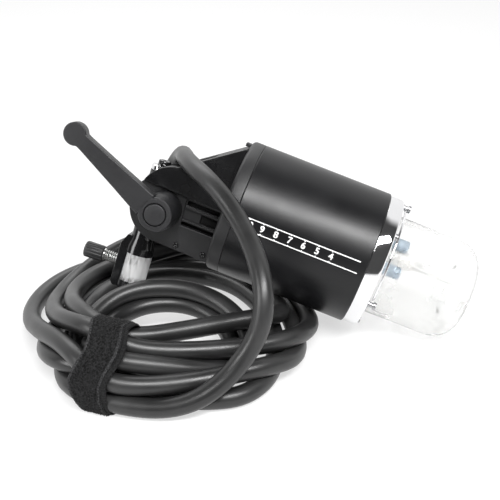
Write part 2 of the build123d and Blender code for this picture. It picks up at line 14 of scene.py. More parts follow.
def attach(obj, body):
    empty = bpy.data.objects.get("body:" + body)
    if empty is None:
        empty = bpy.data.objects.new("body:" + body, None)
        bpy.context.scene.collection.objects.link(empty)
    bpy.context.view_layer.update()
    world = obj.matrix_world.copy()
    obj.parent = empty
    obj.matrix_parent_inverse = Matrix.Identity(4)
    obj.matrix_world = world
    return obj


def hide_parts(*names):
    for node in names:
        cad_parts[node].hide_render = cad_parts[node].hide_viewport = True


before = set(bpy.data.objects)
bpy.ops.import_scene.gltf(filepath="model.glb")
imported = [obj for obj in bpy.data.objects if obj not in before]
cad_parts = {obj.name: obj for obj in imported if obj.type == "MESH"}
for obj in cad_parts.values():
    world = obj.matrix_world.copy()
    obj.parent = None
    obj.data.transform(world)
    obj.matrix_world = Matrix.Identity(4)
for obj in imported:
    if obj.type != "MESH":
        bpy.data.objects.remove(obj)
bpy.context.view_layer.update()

# ---- Studio: a white sheet under soft light ------------------------------------------------------------
# A wide pale floor, an even white surround and two large softboxes. The camera stands in front of the
# table at about twice the head's length, looking down by 26.5 degrees.
camera = bpy.data.objects.new("camera", bpy.data.cameras.new("camera"))
bpy.context.collection.objects.link(camera)
camera.location = (-0.01825, -0.6365, 0.373)
camera.rotation_euler = (radians(63.5), 0, 0)
camera.data.lens = 68.4
camera.data.sensor_width = 36
camera.data.clip_start = 0.01
bpy.context.scene.camera = camera
bpy.context.scene.view_settings.view_transform = "Standard"

world = bpy.data.worlds.new("surround")
bpy.context.scene.world = world
world.use_nodes = True
world_nodes, world_links = world.node_tree.nodes, world.node_tree.links
surround = world_nodes["Background"]
surround.inputs["Color"].default_value = (1.0, 1.0, 1.0, 1)
AMBIENT = 0.36                       # soft light from all round
ROOM = 0.07                          # what polished surfaces see where nothing is lit
SHEET_GLOW = 0.62                    # the floor's own share of white, to a viewer
LIT_POINT = (0.0, 0.0, 0.05)         # what the softboxes face


def reads(nodes, links, operation, first, second):
    """A Math node that combines two values, each a number or another node's output."""
    node = nodes.new("ShaderNodeMath")
    node.operation = operation
    for socket, value in zip(node.inputs, (first, second)):
        if isinstance(value, (int, float)):
            socket.default_value = value
        else:
            links.new(value, socket)
    return node.outputs[0]


def seen_rays(nodes, links):
    """Two flags: for rays a viewer follows, straight or through glass, and for mirrored rays."""
    light_path = nodes.new("ShaderNodeLightPath")
    rays = reads(nodes, links, "MAXIMUM", light_path.outputs["Is Camera Ray"],
                 light_path.outputs["Is Transmission Ray"])
    return rays, light_path.outputs["Is Glossy Ray"]


# the sheet hangs behind the table, so polished surfaces see it there and the dark room in front and above
direction = world_nodes.new("ShaderNodeTexCoord")
parts = world_nodes.new("ShaderNodeSeparateXYZ")
world_links.new(direction.outputs["Generated"], parts.inputs["Vector"])
behind = world_nodes.new("ShaderNodeMapRange")
behind.interpolation_type = "SMOOTHSTEP"
behind.inputs["From Min"].default_value = -0.05
behind.inputs["From Max"].default_value = 0.30
world_links.new(parts.outputs["Y"], behind.inputs["Value"])
below_top = world_nodes.new("ShaderNodeMapRange")
below_top.interpolation_type = "SMOOTHSTEP"
below_top.inputs["From Min"].default_value = 0.93
below_top.inputs["From Max"].default_value = 0.82
world_links.new(parts.outputs["Z"], below_top.inputs["Value"])
backdrop = reads(world_nodes, world_links, "MULTIPLY", behind.outputs["Result"], below_top.outputs["Result"])
seen, mirrored = seen_rays(world_nodes, world_links)
in_mirror = reads(world_nodes, world_links, "MULTIPLY", backdrop, 1 - ROOM)
in_mirror = reads(world_nodes, world_links, "ADD", in_mirror, ROOM - AMBIENT)
in_mirror = reads(world_nodes, world_links, "MULTIPLY", in_mirror, mirrored)
unlit = reads(world_nodes, world_links, "ADD", in_mirror, AMBIENT)
world_links.new(reads(world_nodes, world_links, "MAXIMUM", unlit, seen), surround.inputs["Strength"])


def softbox(name, at, aim, size, power):
    """A rectangular lamp that faces the point it lights."""
    data = bpy.data.lights.new(name, "AREA")
    data.shape = "RECTANGLE"
    data.size, data.size_y = size
    data.energy = power
    lamp = bpy.data.objects.new(name, data)
    bpy.context.collection.objects.link(lamp)
    lamp.location = at
    lamp.rotation_euler = (Vector(aim) - Vector(at)).to_track_quat("-Z", "Y").to_euler()


softbox("front_softbox", (0.34, -0.93, 1.31), LIT_POINT, (1.3, 0.30), 36)
softbox("back_softbox", (-0.3, 1.1, 1.3), LIT_POINT, (1.2, 0.8), 9)
softbox("side_softbox", (-1.35, -0.85, 0.75), LIT_POINT, (0.6, 0.9), 13)

floor_mesh = bmesh.new()
bmesh.ops.create_grid(floor_mesh, x_segments=1, y_segments=1, size=4)
floor = bpy.data.objects.new("floor", bpy.data.meshes.new("floor"))
floor_mesh.to_mesh(floor.data)
floor_mesh.free()
bpy.context.collection.objects.link(floor)
floor_look = bpy.data.materials.new("white_sheet")
floor_look.use_nodes = True
sheet_nodes, sheet_links = floor_look.node_tree.nodes, floor_look.node_tree.links
sheet_shader = sheet_nodes["Principled BSDF"]
sheet_shader.inputs["Base Color"].default_value = (0.93, 0.93, 0.93, 1)
sheet_shader.inputs["Roughness"].default_value = 0.6
sheet_shader.inputs["Specular IOR Level"].default_value = 0.2
white = sheet_nodes.new("ShaderNodeEmission")
seen, mirrored = seen_rays(sheet_nodes, sheet_links)
either = reads(sheet_nodes, sheet_links, "MAXIMUM", seen, mirrored)
share = reads(sheet_nodes, sheet_links, "MULTIPLY", either, SHEET_GLOW)
lit_sheet = sheet_nodes.new("ShaderNodeMixShader")
sheet_links.new(share, lit_sheet.inputs["Fac"])
sheet_links.new(sheet_shader.outputs["BSDF"], lit_sheet.inputs[1])
sheet_links.new(white.outputs["Emission"], lit_sheet.inputs[2])
sheet_links.new(lit_sheet.outputs["Shader"], sheet_nodes["Material Output"].inputs["Surface"])
floor.data.materials.append(floor_look)

# ---- Barrel: the aluminium tube that carries everything ------------------------------------------------
# A 100 mm tube, turned and sprayed satin black, with a zoom scale silk-screened on its near side. The rear
# cap and the front ring are drawn onto its two ends by three rods inside.
BARREL_R = 50.0
BARREL_LENGTH = 98.0
BLACK_PAINT = (0.0050, 0.0050, 0.0058)

MM = Matrix.Scale(0.001, 4)
LAY = (
    Matrix.Translation((-0.02375, 0.0098, 0.08495))
    @ Matrix.Rotation(radians(-12.3), 4, "Z")
    @ Matrix.Rotation(radians(18.0), 4, "Y")
    @ Matrix.Rotation(radians(-16.4), 4, "X")
)
HEAD = LAY @ MM                      # from the head's millimetres to the table's metres


def finish(name, colour, roughness, grain=900.0, bump=0.05, vary=0.12, uneven=0.08, metallic=0.0,
           speckled=False, **sockets):
    """A material whose grain, tone and gloss drift a little over the surface."""
    look = bpy.data.materials.new(name)
    look.use_nodes = True
    nodes, links = look.node_tree.nodes, look.node_tree.links
    shader = nodes["Principled BSDF"]
    where = nodes.new("ShaderNodeTexCoord")
    fine = nodes.new("ShaderNodeTexNoise")
    fine.inputs["Scale"].default_value = grain
    fine.inputs["Detail"].default_value = 4.0
    broad = nodes.new("ShaderNodeTexNoise")
    broad.inputs["Scale"].default_value = 28.0
    broad.inputs["Detail"].default_value = 5.0
    for texture in (fine, broad):
        links.new(where.outputs["Object"], texture.inputs["Vector"])
    tone = nodes.new("ShaderNodeMix")
    tone.data_type = "RGBA"
    tone.inputs["A"].default_value = (*[c * (1 - vary) for c in colour], 1)
    tone.inputs["B"].default_value = (*[min(1.0, c * (1 + vary)) for c in colour], 1)
    spread = nodes.new("ShaderNodeMapRange")
    spread.inputs["From Min"].default_value = 0.36
    spread.inputs["From Max"].default_value = 0.64
    links.new((fine if speckled else broad).outputs["Fac"], spread.inputs["Value"])
    links.new(spread.outputs["Result"], tone.inputs["Factor"])
    links.new(tone.outputs["Result"], shader.inputs["Base Color"])
    gloss = nodes.new("ShaderNodeMapRange")
    gloss.inputs["From Min"].default_value = 0.3
    gloss.inputs["From Max"].default_value = 0.7
    gloss.inputs["To Min"].default_value = max(0.02, roughness - uneven)
    gloss.inputs["To Max"].default_value = min(1.0, roughness + uneven)
    links.new(broad.outputs["Fac"], gloss.inputs["Value"])
    links.new(gloss.outputs["Result"], shader.inputs["Roughness"])
    relief = nodes.new("ShaderNodeBump")
    relief.inputs["Strength"].default_value = bump
    relief.inputs["Distance"].default_value = 0.0004
    links.new(fine.outputs["Fac"], relief.inputs["Height"])
    links.new(relief.outputs["Normal"], shader.inputs["Normal"])
    shader.inputs["Metallic"].default_value = metallic
    for socket, value in sockets.items():
        shader.inputs[socket.replace("_", " ")].default_value = value
    return look


def made(shape, name, look, body="head", stands_for=(), edge=0.0, place=HEAD, smooth=True):
    """Turns a finished bmesh into a piece: laid down, shaded smooth and fastened to its body."""
    shape.transform(place)
    bmesh.ops.recalc_face_normals(shape, faces=shape.faces)
    mesh = bpy.data.meshes.new(name)
    shape.to_mesh(mesh)
    shape.free()
    if smooth:
        mesh.shade_smooth()
    mesh.materials.append(look)
    piece = bpy.data.objects.new(name, mesh)
    bpy.context.collection.objects.link(piece)
    if edge:
        soften = piece.modifiers.new("soften", "BEVEL")
        soften.width = edge
        soften.segments = 3
        soften.limit_method = "ANGLE"
        soften.angle_limit = radians(28)
        soften.harden_normals = smooth
    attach(piece, body)
    if stands_for:
        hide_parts(*stands_for)
    return piece


def turned(profile, steps=128, closed=True, y=0.0, z=0.0):
    """A shape turned about the beam from its (along, radius) outline."""
    shape = bmesh.new()
    points = [shape.verts.new((x, 0, r)) for x, r in profile]
    pairs = list(zip(points, points[1:])) + ([(points[-1], points[0])] if closed else [])
    edges = [shape.edges.new(pair) for pair in pairs]
    bmesh.ops.spin(shape, geom=points + edges, axis=(1, 0, 0), cent=(0, 0, 0), angle=2 * pi, steps=steps,
                   use_merge=True)
    bmesh.ops.remove_doubles(shape, verts=shape.verts, dist=1e-4)
    bmesh.ops.translate(shape, verts=shape.verts, vec=(0, y, z))
    return shape


def recolour(look, *nodes):
    """Gives carried-over CAD nodes their material."""
    for node in nodes:
        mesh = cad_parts[node].data
        mesh.materials.clear()
        mesh.materials.append(look)


black_paint = finish("black_paint", BLACK_PAINT, 0.34, grain=1500, bump=0.10, uneven=0.04,
                     Specular_IOR_Level=0.38)
barrel = turned([(0.0, 49.65), (0.35, BARREL_R), (30, BARREL_R), (64, BARREL_R), (97.65, BARREL_R),
                 (BARREL_LENGTH, 49.65), (BARREL_LENGTH, 47.5), (0.0, 47.5)], steps=192)
made(barrel, "barrel", black_paint, stands_for=("barrel_tube",), edge=0.00025)

SCALE_MIDDLE = 0.6                   # degrees above the barrel's near side
SCALE_HALF = 4.25                    # from the scale's middle to each line
LINE_HALF = 0.38                     # half of a line's width
TICK_HALF, TICK_REACH, TICK_LAP = 0.4, 0.8, 0.1
FIRST_DIGIT, DIGIT_STEP = 10.9, 10.2
DIGIT_HEAVIER = ((-0.18, -0.15), (0.18, -0.15), (0.18, 0.15), (-0.18, 0.15), (0, 0))
white_ink = finish("white_ink", (0.80, 0.80, 0.80), 0.5, grain=2500, bump=0.05, vary=0.03)


def wrap(shape):
    """Lays a flat print of (along, up) millimetres round the barrel's near side."""
    for vert in shape.verts:
        along, up, lift = vert.co
        angle = radians(SCALE_MIDDLE) + up / BARREL_R
        out = BARREL_R + 0.03 + lift
        vert.co = (along, -out * cos(angle), out * sin(angle))


def stripe(shape, x_from, x_to, up_from, up_to):
    """One printed bar, cut up so that it bends with the barrel."""
    cells = max(1, round((x_to - x_from) / 4))
    grid = bmesh.ops.create_grid(shape, x_segments=cells, y_segments=2, size=0.5)
    for vert in grid["verts"]:
        vert.co = (x_from + (vert.co.x + 0.5) * (x_to - x_from),
                   up_from + (vert.co.y + 0.5) * (up_to - up_from), 0)


print_shape = bmesh.new()
for up in (-SCALE_HALF, SCALE_HALF):
    stripe(print_shape, 3.0, 92.5 if up > 0 else 93.0, up - LINE_HALF, up + LINE_HALF)
for step in range(7):
    at = FIRST_DIGIT + DIGIT_STEP * step
    for side in (-1, 1):
        stripe(print_shape, at - TICK_HALF, at + TICK_HALF,
               side * SCALE_HALF - TICK_REACH * (side > 0) - TICK_LAP,
               side * SCALE_HALF + TICK_REACH * (side < 0) + TICK_LAP)
    digit = bpy.data.curves.new("digit", "FONT")
    digit.body = str(10 - step)
    digit.size = 6.4
    digit.align_x = "CENTER"
    digit.align_y = "CENTER"
    drawn = bpy.data.objects.new("digit", digit)
    for pull, (shift, rise) in enumerate(DIGIT_HEAVIER):
        flat = bpy.data.meshes.new_from_object(drawn)
        flat.transform(Matrix.Translation((at + shift, rise, 0.004 * pull)))
        print_shape.from_mesh(flat)
        bpy.data.meshes.remove(flat)
    bpy.data.objects.remove(drawn)
wrap(print_shape)
made(print_shape, "zoom_scale", white_ink)

# ---- Rear cap: the moulded lid on the barrel's back ----------------------------------------------------
# Black glass-filled nylon with a fine spark-eroded grain, pushed into the tube and held by the rods. A
# small lug stands on its rim, and the lamp cable's gland is screwed to its back on the far side.
black_plastic = finish("black_plastic", (0.0120, 0.0120, 0.0128), 0.45, grain=1900, bump=0.22, uneven=0.05)
CAP_END = -10.0
cap = turned([(0, 49.6), (-0.3, 50.0), (-7.2, 50.0), (-8.6, 49.6), (-9.6, 48.6), (CAP_END, 47.2), (CAP_END, 20),
              (CAP_END, 0), (-7, 0), (-7, 45.1), (9, 45.1), (9, 47.45), (0, 47.45)], steps=192)
made(cap, "back_lid", black_plastic, stands_for=("rear_cap",), edge=0.0003)
lug = bmesh.new()
bmesh.ops.create_cube(lug, size=1,
                      matrix=Matrix.Translation((-12.2, 2, 46.0)) @ Matrix.Diagonal((4.4, 7, 2.6, 1)))
made(lug, "lid_lug", black_plastic, edge=0.0005)

# ---- Front ring: the bright rim that holds the dome and reflects the flash ------------------------------
# Turned from aluminium bar and chromed. Three posts and three screws stand on its face.
RING_FACE = 109.0
chrome = finish("chrome", (0.86, 0.86, 0.87), 0.07, grain=500, bump=0.008, vary=0.02, uneven=0.03, metallic=1.0)
ring = turned([(98, 49.0), (98.25, 49.3), (106.6, 49.3), (108.0, 48.85), (108.8, 48.0), (RING_FACE, 47.0),
               (RING_FACE, 40.6), (108.6, 40.2), (104, 40.2), (104, 43.5), (96, 43.5), (96, 45), (90, 45),
               (90, 47.45), (98, 47.45)], steps=192)
made(ring, "bright_ring", chrome, stands_for=("front_ring",), edge=0.0002)


def polar(radius, angle):
    """Y and Z at that radius and angle round the beam, from -Y towards +Z."""
    return -radius * cos(radians(angle)), radius * sin(radians(angle))


def screw_head(x_from, x_to, radius, y, z, slot_turn=0.0, slot_width=0.9):
    """A slotted head seen from the front."""
    head = turned([(x_from, 0), (x_from, radius), (x_to - 0.35, radius), (x_to, radius - 0.35), (x_to, 0)],
                  steps=32, closed=False)
    for slot_side in (slot_width / 2, -slot_width / 2):
        bmesh.ops.bisect_plane(head, geom=head.verts[:] + head.edges[:] + head.faces[:],
                               plane_co=(0, slot_side, 0), plane_no=(0, 1, 0))
    floor_faces = [f for f in head.faces if abs(f.calc_center_median().y) < slot_width / 2
                   and f.calc_center_median().x > x_to - 0.02]
    bmesh.ops.inset_region(head, faces=floor_faces, thickness=0.02, depth=0)
    for vert in {v for f in floor_faces for v in f.verts}:
        vert.co.x -= 0.7
    bmesh.ops.rotate(head, verts=head.verts, cent=(0, 0, 0), matrix=Matrix.Rotation(slot_turn, 3, "X"))
    bmesh.ops.translate(head, verts=head.verts, vec=(0, y, z))
    return head


def join(*shapes):
    """Puts several shapes into one."""
    whole = bmesh.new()
    for shape in shapes:
        part = bpy.data.meshes.new("part")
        shape.to_mesh(part)
        whole.from_mesh(part)
        bpy.data.meshes.remove(part)
        shape.free()
    return whole


POST_AT = 44.5                       # from the beam's axis
POST_HEIGHT = 4.0
posts = []
for angle in (90, -32, 212):
    y, z = polar(POST_AT, angle)
    stem = turned([(RING_FACE, 0), (RING_FACE, 2.9), (RING_FACE + 0.5, 2.9), (RING_FACE + 0.7, 1.9),
                   (RING_FACE + POST_HEIGHT, 1.9), (RING_FACE + POST_HEIGHT, 0)],
                  steps=32, closed=False, y=y, z=z)
    posts += [stem, screw_head(RING_FACE + POST_HEIGHT, RING_FACE + POST_HEIGHT + 2.0, 2.9, y, z,
                               radians(angle * 2))]
for angle in (-76, 38, 154):
    y, z = polar(POST_AT, angle)
    posts.append(screw_head(RING_FACE, RING_FACE + 2.0, 2.6, y, z, radians(angle)))
post_steel = finish("post_steel", (0.40, 0.40, 0.41), 0.24, grain=900, bump=0.03, metallic=1.0)
made(join(*posts), "ring_posts", post_steel, stands_for=("dome_posts",),
     edge=0.00012)

# ---- Inside the barrel ---------------------------------------------------------------------------------
# The insulating plate, the socket board, the rods, the trigger coil and the fan are bought parts screwed
# between cap and ring. Almost none of it shows.
ceramic = finish("white_ceramic", (0.80, 0.79, 0.77), 0.42, grain=1200, bump=0.05, vary=0.03)
board_green = finish("board", (0.05, 0.11, 0.06), 0.5, grain=1500, bump=0.08)
steel = finish("zinc_steel", (0.55, 0.55, 0.54), 0.28, grain=1400, bump=0.05, metallic=1.0)
recolour(board_green, "terminal_board", "trigger_coil")
recolour(steel, "tie_rods")
recolour(black_plastic, "fan_frame", "fan_rotor")
plate = turned([(101, 0), (101, 43.4), (104, 43.4), (104, 0)], steps=96, closed=False)
made(plate, "insulating_plate", ceramic, stands_for=("mounting_plate",), edge=0.0003)

# ---- Lamp, flash tube and their sockets ----------------------------------------------------------------
# The ceramic socket takes a tubular halogen lamp; the ring-shaped flash tube stands round it on two
# blue-grey caps that cover its electrodes. Lamp and tube pull out to the front.
clear_glass = finish("clear_glass", (0.985, 0.99, 0.99), 0.03, bump=0.0, vary=0.006, uneven=0.01,
                     Transmission_Weight=0.98, IOR=1.03)
opal_glass = finish("opal_glass", (0.95, 0.95, 0.94), 0.25, grain=900, bump=0.02, vary=0.02,
                    Transmission_Weight=0.1, IOR=1.3)
blue_grey = finish("blue_grey", (0.34, 0.42, 0.50), 0.5, grain=1500, bump=0.08)
LAMP_Z = 8.0
socket = turned([(104, 0), (104, 8.0), (106, 8.0), (106.6, 6.5), (129.5, 6.5), (131, 5.9), (132, 5.2),
                 (132, 0)], steps=64, closed=False, z=LAMP_Z)
made(socket, "lamp_holder", ceramic, stands_for=("lamp_socket",), edge=0.0004)
lamp = turned([(132, 0), (132, 4.0), (150, 4.0), (160, 4.0), (162.8, 3.4), (165, 2.0), (166, 0)], steps=48,
              closed=False, z=LAMP_Z)
made(lamp, "halogen_lamp", opal_glass, stands_for=("modelling_lamp",))
SOCKETS = ((-4.0, 18.5), (-16.5, 0.5))
holders = [turned([(104, 0), (104, 5.6), (106, 5.6), (106.4, 4.6), (123.2, 4.6), (124, 3.8), (124, 0)],
                  steps=48, closed=False, y=y, z=z) for y, z in SOCKETS]
made(join(*holders), "tube_holders", blue_grey, stands_for=("tube_sockets",),
     edge=0.0003)
recolour(clear_glass, "flash_tube")

# ---- Glass dome ----------------------------------------------------------------------------------------
# A blown borosilicate cup, etched to a soft frost inside. Its bead sits in the ring behind two sprung
# wires, so that it can be taken off to change the lamp.
frost = finish("frosted_glass", (0.99, 0.99, 0.985), 0.28, grain=350, bump=0.02, vary=0.008, uneven=0.04,
               Transmission_Weight=0.97, IOR=1.05)
DOME_R, DOME_WALL, DOME_END, DOME_CORNER = 37.0, 2.0, 177.0, 19.0
outside, inside = [(104, 39.8), (107, 39.8), (107.6, 39.2), (108.2, 37.4)], []
for step in range(13):
    turn = pi / 2 * step / 12
    outside.append((DOME_END - DOME_CORNER + DOME_CORNER * sin(turn),
                    DOME_R - DOME_CORNER + DOME_CORNER * cos(turn)))
    inner = DOME_CORNER - DOME_WALL
    inside.append((DOME_END - DOME_CORNER + inner * sin(turn), DOME_R - DOME_CORNER + inner * cos(turn)))
outline = outside + [(DOME_END, 0), (DOME_END - DOME_WALL, 0)] + inside[::-1] + [(104, DOME_R - DOME_WALL)]
made(turned(outline, steps=160), "dome", frost, stands_for=("glass_dome",))

# ---- Retaining wires -----------------------------------------------------------------------------------
# Two arcs of spring wire from the top post down both sides, each hooked behind a lower post.
WIRE_R = 0.9
wires = bmesh.new()
for first, last in ((84.5, -26.5), (95.5, 206.5)):
    rings = []
    for step in range(25):
        angle = first + (last - first) * step / 24
        y, z = polar(POST_AT - 1.0, angle)
        outward = Vector((0, y, z)).normalized()
        corners = []
        for k in range(10):
            turn = 2 * pi * k / 10
            spot = (Vector((RING_FACE + 2.4, y, z)) + outward * (WIRE_R * cos(turn))
                    + Vector((WIRE_R * sin(turn), 0, 0)))
            corners.append(wires.verts.new(spot))
        rings.append([wires.edges.new((corners[k], corners[(k + 1) % 10])) for k in range(10)])
    for one, two in zip(rings, rings[1:]):
        bmesh.ops.bridge_loops(wires, edges=one + two)
    for end in (rings[0], rings[-1]):
        bmesh.ops.holes_fill(wires, edges=end, sides=10)
made(wires, "spring_wires", chrome, stands_for=("dome_wires",))

# ---- Bracket: two cheeks and their side covers ---------------------------------------------------------
# Each cheek is a moulded plate behind the cap that clamps the stand adapter's lug; a glossier wedge-shaped
# cover with a blank name field sits on it. The air slots open under the cover behind two louvre bars. Behind
# them a near-black sheet is painted shade for the dark inside of the vents.
PIVOT_X, PIVOT_Z = -53.0, -18.0
gloss_plastic = finish("gloss_plastic", (0.0060, 0.0060, 0.0065), 0.26, grain=1800, bump=0.06, uneven=0.05)
SEAT_R = 14.1                        # the round opening in each cover for the lever's hub
COVER_HIGH, COVER_LOW = (-10, 45.7), (-10, -5.2)
COVER_REAR = (-73.8, -3.2)


def arc(centre, radius, first, last, steps):
    """Points along part of a circle, in degrees."""
    return [(centre[0] + radius * cos(radians(first + (last - first) * k / steps)),
             centre[1] + radius * sin(radians(first + (last - first) * k / steps))) for k in range(steps + 1)]


def through(one, two, three, steps):
    """Points of the arc through three points, the first one left out."""
    (ax, ay), (bx, by), (cx, cy) = one, two, three
    d = 2 * (ax * (by - cy) + bx * (cy - ay) + cx * (ay - by))
    ux = ((ax**2 + ay**2) * (by - cy) + (bx**2 + by**2) * (cy - ay) + (cx**2 + cy**2) * (ay - by)) / d
    uy = ((ax**2 + ay**2) * (cx - bx) + (bx**2 + by**2) * (ax - cx) + (cx**2 + cy**2) * (bx - ax)) / d
    start = Vector((ax - ux, ay - uy))
    end = Vector((cx - ux, cy - uy))
    turn = -start.angle_signed(end)
    points = []
    for k in range(1, steps + 1):
        out = start.copy()
        out.rotate(Matrix.Rotation(turn * k / steps, 2))
        points.append((ux + out.x, uy + out.y))
    return points


def plate_of(outline, y_from, y_to, holes=()):
    """A plate parallel to the head's middle plane, from an (x, z) outline, with holes through it."""
    shape = bmesh.new()
    edges = []
    for line in (outline, *holes):
        ring = [shape.verts.new((x, y_from, z)) for x, z in line]
        edges += [shape.edges.new((ring[k - 1], ring[k])) for k in range(len(ring))]
    if holes:
        bmesh.ops.triangle_fill(shape, edges=edges, use_beauty=True, use_dissolve=False)
    else:
        bmesh.ops.holes_fill(shape, edges=edges, sides=0)
    pushed = bmesh.ops.extrude_face_region(shape, geom=shape.faces[:])
    bmesh.ops.translate(shape, verts=[e for e in pushed["geom"] if isinstance(e, bmesh.types.BMVert)],
                        vec=(0, y_to - y_from, 0))
    bmesh.ops.recalc_face_normals(shape, faces=shape.faces)
    return shape


def inside_of(line, keep_out, radius):
    """Bends the part of an outline that crosses a round opening back along its rim."""
    bent = []
    for x, z in line:
        gap = hypot(x - keep_out[0], z - keep_out[1])
        if gap < radius:
            x = keep_out[0] + (x - keep_out[0]) * radius / gap
            z = keep_out[1] + (z - keep_out[1]) * radius / gap
        bent.append((x, z))
    return bent


rear_curve = through(COVER_REAR, (-66.2, 8.3), (-53.2, 14.5), 12)
cover_line = [COVER_HIGH, COVER_LOW] + [(x, -5.2 + (-10 - x) * 0.0341) for x in range(-14, -72, -2)]
cover_line = inside_of(cover_line, (PIVOT_X, PIVOT_Z), SEAT_R) + [COVER_REAR] + rear_curve
for name, side in (("near", -1), ("far", 1)):
    cover = plate_of(cover_line, 17.0 * side, 20.0 * side)
    made(cover, "side_cover_" + name, gloss_plastic, stands_for=("wedge_" + name,),
         edge=0.0009)
    inner = [(x, z) for x, z in cover_line if hypot(x - PIVOT_X, z - PIVOT_Z) > 14.2]
    middle = (-36.0, 11.0)
    field = [(middle[0] + (x - middle[0]) * 0.86, middle[1] + (z - middle[1]) * 0.80) for x, z in inner]
    raised = plate_of(field, 19.6 * side, 20.25 * side)
    made(raised, "name_field_" + name, gloss_plastic, edge=0.0002)

CHEEK_END_R = 26.0
lower = [COVER_HIGH, (-10, -44.6), (-46, -44.05)]
lower += arc((PIVOT_X, PIVOT_Z), CHEEK_END_R, -85, -205, 40) + [COVER_REAR] + rear_curve
bore = arc((PIVOT_X, PIVOT_Z), 6.2, 0, 360, 40)[:-1]
vent = [(-39.5, -5.9), (-10.6, -5.9), (-10.6, -25.0), (-37.5, -25.0)]
back_slots = ([(-38, -9.7), (-11, -9.7), (-11, -6.3), (-38, -6.3)],
              [(-25, -19.6), (-12, -19.6), (-12, -13.0), (-25, -13.0)],
              [(-38, -25), (-11, -25), (-11, -22.6), (-38, -22.6)])
for name, side in (("near", -1), ("far", 1)):
    skin = plate_of(lower, 14.5 * side, 17.0 * side, holes=(bore, vent))
    floor_plate = plate_of(lower, 11.0 * side, 14.5 * side, holes=(bore, *back_slots))
    made(join(skin, floor_plate), "cheek_plate_" + name, black_plastic,
         stands_for=("cheek_" + name,), edge=0.0006, smooth=False)
    bars = []
    for level, height in ((-11.4, 1.8), (-21.2, 1.6)):
        line = [(-38.5, level - height / 2), (-11, level - height / 2), (-11, level + height / 2),
                (-38.5, level + height / 2)]
        bars.append(plate_of(line, 14.6 * side, 16.4 * side))
    made(join(*bars), "louvres_" + name, black_plastic, stands_for=("vents_" + name,),
         edge=0.0004)
# a near-black sheet behind the back slots: painted shade standing in for the dark inside of the vents
vent_shade_sheet = finish("painted_vent_shade", (0.006, 0.006, 0.006), 0.8, grain=3000, bump=0.6)
for name, side in (("near", -1), ("far", 1)):
    mesh_line = [(-39, -25.2), (-10.8, -25.2), (-10.8, -6.1), (-39, -6.1)]
    made(plate_of(mesh_line, 11.3 * side, 11.9 * side), "painted_vent_shade_" + name, vent_shade_sheet)
recolour(black_plastic, "housing_web", "friction_discs")


def turned_y(profile, steps=64, x=PIVOT_X, z=PIVOT_Z):
    """A shape turned about a line parallel to Y from its (radius, y) outline."""
    shape = bmesh.new()
    points = [shape.verts.new((r, y, 0)) for r, y in profile]
    edges = [shape.edges.new(pair) for pair in zip(points, points[1:] + points[:1])]
    bmesh.ops.spin(shape, geom=points + edges, axis=(0, 1, 0), cent=(0, 0, 0), angle=2 * pi, steps=steps,
                   use_merge=True)
    bmesh.ops.remove_doubles(shape, verts=shape.verts, dist=1e-4)
    bmesh.ops.translate(shape, verts=shape.verts, vec=(x, 0, z))
    bmesh.ops.recalc_face_normals(shape, faces=shape.faces)
    return shape


screws = []
for side in (-1, 1):
    for x, z in ((-14.5, -40.0), (-36.0, -40.5)):
        screws.append(turned_y([(0, 16.8 * side), (2.2, 16.8 * side), (2.2, 17.9 * side), (1.8, 18.4 * side),
                                (1.1, 18.4 * side), (1.1, 17.7 * side), (0, 17.7 * side)], 32, x, z))
made(join(*screws), "bracket_screws", gloss_plastic, stands_for=("cover_screws",))

# ---- Tilt bolt, nut and clamping lever -----------------------------------------------------------------
# The lever is moulded in charcoal nylon round a steel bolt and draws the cheeks together when turned.
# Its outer face and its round cover have the fine grain of the mould.
charcoal = finish("lever_grey", (0.0110, 0.0110, 0.0122), 0.42, grain=2600, bump=0.30, vary=0.10, uneven=0.04)
recolour(steel, "bolt_bush")
made(turned_y([(0, 16), (4.0, 16), (4.0, -42), (0, -42)]), "clamp_bolt", steel, body="lever",
     stands_for=("tilt_bolt",), edge=0.0002)
made(turned_y([(4.1, 11), (6.2, 11), (6.2, 17), (8.0, 17), (8.0, 21.3), (7.2, 22.3), (6.3, 22.5), (2.6, 22.5),
               (2.6, 20.9), (4.1, 20.9)]), "clamp_nut", steel, stands_for=("tilt_nut",),
     edge=0.0002)
LEVER_TURN = Matrix.Translation((PIVOT_X, 0, PIVOT_Z)) @ Matrix.Rotation(radians(-155.5), 4, "Y")
hub = turned_y([(0, -17.4), (13.6, -17.4), (13.6, -34), (13.45, -35.6), (13.05, -37.6), (12.3, -40),
                (12.3, -47.8), (12.1, -48.5), (11.7, -48.9), (11.1, -49), (8.6, -49), (8.5, -48.9),
                (8.5, -47.4), (0, -47.4)], 96)
made(hub, "lever_hub", charcoal, body="lever", stands_for=("lever",), edge=0.00015)
ARM_FROM = 9.2                       # where the arm leaves the hub
arm_line = [(ARM_FROM, -9.3), (34, -7.6), (69, -5.6)]
arm_line += arc((79, 0), 8.4, -138.2, 138.2, 48) + [(69, 5.6), (34, 7.6), (ARM_FROM, 9.3)]
arm_shape = plate_of(arm_line, -49.0, -40.0)
arm_shape.transform(LEVER_TURN)
made(arm_shape, "lever_arm", charcoal, body="lever", edge=0.0013)
FOOT_TO = 15                         # how far out the foot reaches next to the cover
foot = plate_of([(2, -11.0), (21, -6.4), (26, -3.5), (26, 3.5), (21, 6.4), (2, 11.0)], -40.2, -33.0)
for vert in foot.verts:
    if vert.co.y > -36 and vert.co.x > FOOT_TO:
        vert.co.x = FOOT_TO
foot.transform(LEVER_TURN)
made(foot, "lever_foot", charcoal, body="lever", edge=0.001)
made(turned_y([(0, -47.4), (7.7, -47.4), (7.7, -48.8), (7.4, -49.3), (6.9, -49.45), (0, -49.45)], 64),
     "lever_button", charcoal, body="lever", stands_for=("lever_cap",))

